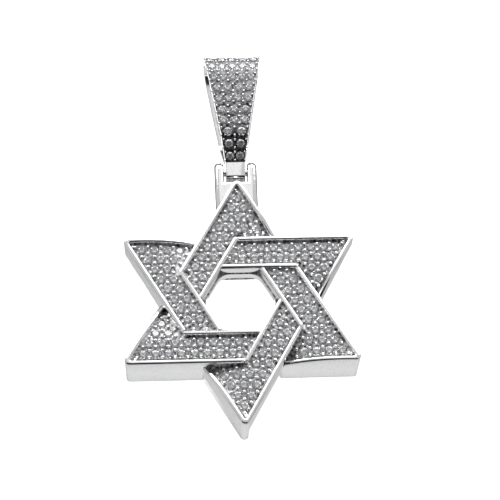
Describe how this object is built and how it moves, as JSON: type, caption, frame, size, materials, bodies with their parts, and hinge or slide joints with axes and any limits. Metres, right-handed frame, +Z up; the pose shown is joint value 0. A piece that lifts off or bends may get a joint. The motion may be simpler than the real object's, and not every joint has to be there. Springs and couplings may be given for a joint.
{
  "type": "star of david pendant",
  "caption": "Woven six-pointed star pendant in polished silver, its bands set with round clear stones, hinged to a tapering stone-set bail.",
  "frame": {"origin": "where a chain bears, at the top inside the bail's loop", "axes": "+Z up, +X to the right seen from the front, -Y out of the face that the stones look from"},
  "size_m": [0.0262, 0.0062, 0.0481],
  "materials": {
    "silver": "polished sterling silver",
    "stone": "faceted clear cubic zirconia"
  },
  "bodies": {
    "bail": {"bail_frame": "silver", "bail_stones": "stone"},
    "star": {"star_frame": "silver", "star_stones_1": "stone", "star_stones_2": "stone", "star_stones_3": "stone", "star_stones_4": "stone", "star_stones_5": "stone", "star_stones_6": "stone", "hinge_pin": "silver"}
  },
  "joints": [
    {"name": "star_swing", "type": "hinge", "parent": "bail", "child": "star", "pos_m": [0, 0, -0.0146], "axis": [1, 0, 0], "range_deg": [-85, 85]}
  ]
}
